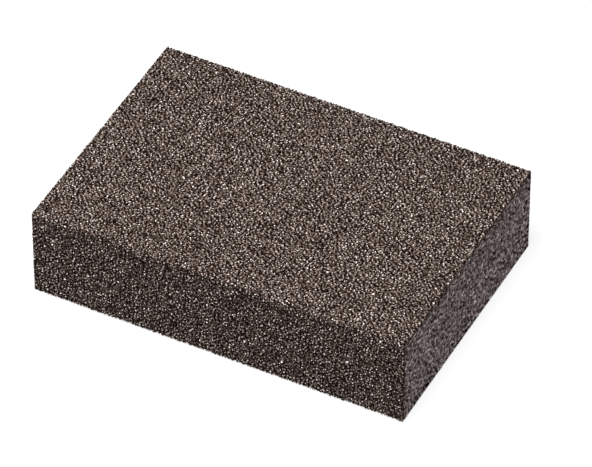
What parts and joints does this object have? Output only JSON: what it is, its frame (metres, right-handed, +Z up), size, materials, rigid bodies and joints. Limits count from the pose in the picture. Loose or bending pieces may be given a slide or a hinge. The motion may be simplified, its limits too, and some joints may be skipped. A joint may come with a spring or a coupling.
{
  "type": "sanding block",
  "caption": "Flexible rectangular foam sanding block, coated with coarse dark abrasive grit on its long sides and cut bare at its ends.",
  "frame": {"origin": "middle of the underside, on the outer face of the bottom coat", "axes": "+X along the block's length towards the right cut end, +Y across its width towards the back, +Z up through its thickness"},
  "size_m": [0.1, 0.0694, 0.0255],
  "materials": {
    "foam": "matte",
    "make_resin": "matte",
    "grit": "satin",
    "size_resin": "satin"
  },
  "bodies": {
    "root": {"foam_core": "foam", "top_make_coat": "make_resin", "bottom_make_coat": "make_resin", "front_make_coat": "make_resin", "back_make_coat": "make_resin", "top_grit": "grit", "bottom_grit": "grit", "front_grit": "grit", "back_grit": "grit", "top_size_coat": "size_resin", "bottom_size_coat": "size_resin", "front_size_coat": "size_resin", "back_size_coat": "size_resin"}
  },
  "joints": []
}
